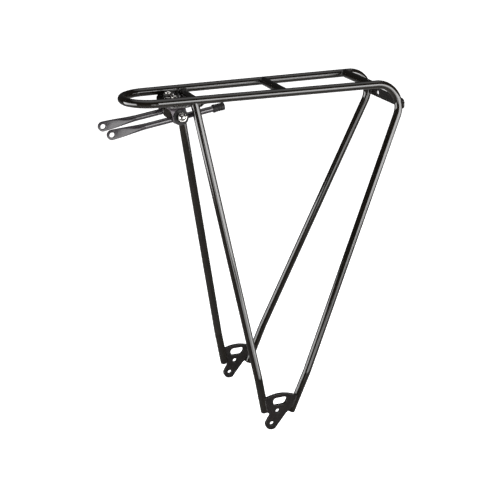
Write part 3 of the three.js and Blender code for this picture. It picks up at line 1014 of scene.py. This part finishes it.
def cap_nut():
    """A hexagon with a dome that closes its outer end."""
    hex_end = CAP_NUT_INNER + CAP_NUT_HEX
    sunk = 0.8  # from the hexagon's end in to the dome's centre
    steps = 14
    bore = [(M6_CLEARANCE_R, hex_end + 1 + GAP), (M6_CLEARANCE_R, CAP_NUT_INNER)]
    low = sunk / CAP_NUT_DOME_R
    high = pi / 2 - 0.03
    angles = [low + (high - low) * k / steps for k in range(steps + 1)]
    dome = [(CAP_NUT_DOME_R * cos(a), hex_end - sunk + CAP_NUT_DOME_R * sin(a)) for a in angles]
    outside = hex_rings(CAP_NUT_INNER, hex_end, HEX_FLATS / 2 - CHAMFER_INSET)
    return lofted(round_rings(bore, NUT_SIDES) + outside + round_rings(dome, NUT_SIDES))


# stays


def stay_place(side):
    """From axes whose X runs along the rod from the eye's centre to the rack's axes."""
    centre = Matrix.Translation((EYE_X, side * STAY_Y, EYE_Z))
    return centre @ Matrix.Rotation(-STAY_SLOPE, 4, "Y")


def eased(share):
    share = min(max(share, 0), 1)
    return share * share * (3 - 2 * share)


def rod_section(x, half_y, half_z, corner):
    """A rectangle with round corners, across the rod at x."""
    corner = min(corner, half_y, half_z)
    points = []
    for quarter, (y_sign, z_sign) in enumerate(((1, 1), (-1, 1), (-1, -1), (1, -1))):
        centre_y = y_sign * (half_y - corner)
        centre_z = z_sign * (half_z - corner)
        for k in range(7):
            angle = pi / 2 * (quarter + k / 6)
            y = centre_y + corner * cos(angle)
            points.append(Vector((x, y, centre_z + corner * sin(angle))))
    return points


def stay():
    """A round rod pressed flat towards a rounded eye."""
    half_blade = BLADE_THICKNESS / 2
    blade_corner = 0.6
    flat_share = 0.12  # of the blade's length, next to the eye, before it starts to thicken
    eye_steps = 12
    blade_steps = 22
    rings = []
    for k in range(1, eye_steps + 1):
        angle = pi / 2 * k / eye_steps
        half_z = EYE_R * sin(angle)
        rings.append(rod_section(-EYE_R * cos(angle), half_blade, half_z, blade_corner))
    for k in range(1, blade_steps + 1):
        share = k / blade_steps
        thickened = eased((share - flat_share) / (1 - flat_share))
        narrowed = 0.5 * share + 0.5 * eased(share)
        half_y = half_blade + (STAY_R - half_blade) * thickened
        half_z = EYE_R + (STAY_R - EYE_R) * narrowed
        corner = blade_corner + (STAY_R - blade_corner) * thickened
        rings.append(rod_section(share * BLADE_LENGTH, half_y, half_z, corner))
    rings.append(rod_section(STAY_LENGTH - CAP_END - GAP, STAY_R, STAY_R, STAY_R))
    half_cut = half_blade + 0.6
    sink = 0.9
    countersunk = [
        (EYE_HOLE_R + sink, -half_cut), (EYE_HOLE_R, sink - half_cut),
        (EYE_HOLE_R, half_cut - sink), (EYE_HOLE_R + sink, half_cut),
    ]
    tool = placed(turned(countersunk), Matrix.Rotation(pi / 2, 4, "X"))
    return carved(lofted(rings), tool)


def stay_cap():
    """A push-on cap with a lip at its mouth and two shallow grooves."""
    mouth = STAY_LENGTH - CAP_LENGTH
    inner_r = STAY_R + GAP
    wall_r = CAP_R - 0.3
    groove_r = wall_r - 0.35
    grooves = []
    for edge in (mouth + 5.6, mouth + 8.6):
        grooves += [
            (wall_r, edge, 0.1),
            (groove_r, edge + 0.4, 0.1),
            (groove_r, edge + 1, 0.1),
            (wall_r, edge + 1.4, 0.1),
        ]
    profile = rounded_profile([
        (inner_r, mouth + 1, 0),
        (inner_r, mouth, 0.1),
        (CAP_R, mouth, 0.5),
        (CAP_R, mouth + 2.2, 0.5),
        (wall_r, mouth + 2.7, 0.4),
        *grooves,
        (CAP_R - 0.1, STAY_LENGTH, 1.6),
        (1.2, STAY_LENGTH, 0),
    ])
    return placed(turned(profile), Matrix.Rotation(pi / 2, 4, "Y"))


# ---------------------------------------------------------------- the whole rack


def add_frame():
    frame_piece("tube_frame", main_tube(), GLOSS, "frame_tube", "main_tube")
    for place, bar_place in CROSSBARS.items():
        frame_piece(f"{place}_bar", crossbar(*bar_place), GLOSS, "frame_tube", f"{place}_crossbar")
        frame_piece(f"{place}_bar_welds", crossbar_welds(*bar_place), GLOSS, "frame_tube")
    for side, name in SIDE_NAMES.items():
        frame_piece(f"leg_{name}", front_leg(side), GLOSS, "frame_tube", f"front_leg_{name}")
        frame_piece(f"leg_weld_{name}", leg_weld(side), GLOSS, "frame_tube")
        frame_piece(f"dropout_{name}", foot_plate(side), SATIN, "frame_plate", f"foot_plate_{name}")
        frame_piece(f"dropout_welds_{name}", foot_welds(side), SATIN, "frame_plate")
    frame_piece("lamp_bar", lamp_plate(), SATIN, "frame_plate", "lamp_plate")
    frame_piece("lamp_bar_welds", lamp_welds(), GLOSS, "frame_plate")
    frame_piece("bracket_plate", mounting_plate(), SATIN, "frame_plate", "mounting_plate")
    frame_piece("bracket_plate_welds", plate_welds(), SATIN, "frame_plate")


def add_bracket(side, name):
    bolt_body = f"bracket_bolt_{name}_body"
    place = swivel_place(side)
    hardware = {
        "mounting_bolt": mounting_bolt(),
        "mounting_washer": washer(MOUNTING_WASHER_R, PLATE_TOP_Z + GAP),
        "locknut": locknut(),
    }
    for part, solid in hardware.items():
        cad_node = f"{part}_{name}"
        made = placed(solid, place)
        piece(f"plated_{cad_node}", made, ZINC, bolt_body, [cad_node])
    bracket = angle_bracket(side)
    body = f"bracket_{name}_body"
    piece(f"bent_bracket_{name}", bracket, GREY, body, [f"angle_bracket_{name}"])


def add_clamp(side, name):
    place = clamp_place(side)
    body = f"clamp_{name}_body"
    ring = placed(washer(CLAMP_WASHER_R, CLAMP_WASHER_INNER), place)
    parts = [
        ("eye_bolt", eye_bolt(side), GLOSS, "satin_bracket"),
        ("clamp_cup", clamp_cup(side), GLOSS, "satin_bracket"),
        ("clamp_washer", ring, PLASTIC, "black_plastic"),
        ("cap_nut", placed(cap_nut(), place), ZINC, "bright_hardware"),
    ]
    for part, solid, material, slot in parts:
        piece(f"formed_{part}_{name}", solid, material, body, [f"{part}_{name}"])


def add_stay(side, name):
    place = stay_place(side)
    body = f"stay_{name}_body"
    piece(f"rod_{name}", placed(stay(), place), STAY, body, [f"stay_{name}"])
    cap = placed(stay_cap(), place)
    piece(f"rod_cap_{name}", cap, PLASTIC, body, [f"stay_cap_{name}"])


# ---------------------------------------------------------------- studio


def add_floor():
    """A wide pale floor at the rack's feet, left out of its reflections."""
    half_size = 12
    level = cad_box[0].z
    signs = ((-1, -1), (1, -1), (1, 1), (-1, 1))
    corners = [Vector((x * half_size, y * half_size, level)) for x, y in signs]
    mesh = bpy.data.meshes.new("floor")
    mesh.from_pydata(corners, [], [(0, 1, 2, 3)])
    mesh.materials.append(pale_floor())
    floor = bpy.data.objects.new("floor", mesh)
    floor.visible_glossy = False
    bpy.context.scene.collection.objects.link(floor)


def add_sky():
    """Light that depends only on its height: a bright ceiling and dim surroundings.

    The camera itself sees plain white.
    """
    world = bpy.data.worlds.new("studio")
    bpy.context.scene.world = world
    world.use_nodes = True
    tree = world.node_tree
    background = tree.nodes["Background"]
    background.inputs["Color"].default_value = (1, 1, 1, 1)
    direction = node(tree, "TexCoord").outputs["Generated"]
    split = node(tree, "SeparateXYZ")
    tree.links.new(direction, split.inputs["Vector"])
    ramp = node(tree, "ValToRGB")
    tree.links.new(ranged(tree, split.outputs["Z"], -1, 1, 0, 1), ramp.inputs["Fac"])
    stops = ramp.color_ramp.elements
    for slope, strength in SKY[1:-1]:
        stops.new((slope + 1) / 2).color = (strength, strength, strength, 1)
    for stop, (slope, strength) in ((stops[0], SKY[0]), (stops[-1], SKY[-1])):
        stop.color = (strength, strength, strength, 1)
    seen = node(tree, "LightPath").outputs["Is Camera Ray"]
    mix = node(tree, "Mix")
    tree.links.new(seen, mix.inputs["Factor"])
    tree.links.new(ramp.outputs["Color"], mix.inputs["A"])
    mix.inputs["B"].default_value = 1.0
    tree.links.new(mix.outputs["Result"], background.inputs["Strength"])


def softbox(name, place, target, width, height, radiance):
    """A soft light at place that faces target. Its power follows from its size."""
    light = bpy.data.lights.new(name, "AREA")
    light.shape = "RECTANGLE"
    light.size = width
    light.size_y = height
    light.energy = radiance * pi * width * height
    lamp = bpy.data.objects.new(name, light)
    lamp.location = place
    lamp.rotation_euler = (Vector(target) - lamp.location).to_track_quat("-Z", "Y").to_euler()
    lamp.visible_camera = False
    bpy.context.scene.collection.objects.link(lamp)


def around(azimuth, distance, height):
    """A place at a distance from the rack's upright axis, by its direction in degrees."""
    return Vector((distance * cos(radians(azimuth)), distance * sin(radians(azimuth)), height))


def add_lights():
    """Boxes at the rear left, the left and the front, a low glow on the left and a small strip."""
    softbox("rear_left_box", around(-33, 1.5, 0.2), (0, 0, 0.2), 1.0, 0.8, 7)
    softbox("left_box", around(-66, 1.4, 0.43), (0, 0, 0.43), 0.95, 0.68, 11)
    softbox("left_glow", around(-70, 1.4, -0.14), (0, 0, -0.14), 1.6, 0.3, 5)
    softbox("front_left_strip", around(-103, 1.3, 0.1), (0, 0, 0.1), 0.35, 0.3, 6)
    softbox("front_box", around(176, 1.0, 0.2), (0, 0, 0.2), 0.95, 0.54, 10)


def add_camera():
    """The viewpoint: left of the rack, ahead of its middle and above it."""
    yaw = radians(19.755)
    pitch = radians(19.612)
    roll = radians(-0.957)
    ahead = Vector((sin(yaw) * cos(pitch), cos(yaw) * cos(pitch), -sin(pitch)))
    level = Vector((cos(yaw), -sin(yaw), 0))
    upright = level.cross(ahead)
    right = level * cos(roll) + upright * sin(roll)
    up = upright * cos(roll) - level * sin(roll)
    camera = bpy.data.objects.new("camera", bpy.data.cameras.new("camera"))
    camera.data.sensor_width = 36
    camera.data.lens = 86.524
    turn = Matrix((right, up, -ahead)).transposed().to_4x4()
    place = Vector((-0.479133, -1.345667, 0.713168))
    camera.matrix_world = Matrix.Translation(place) @ turn
    bpy.context.scene.collection.objects.link(camera)
    bpy.context.scene.camera = camera


add_frame()
for side, name in SIDE_NAMES.items():
    add_bracket(side, name)
    add_clamp(side, name)
    add_stay(side, name)
add_floor()
add_sky()
add_lights()
add_camera()
bpy.context.scene.view_settings.view_transform = "Standard"
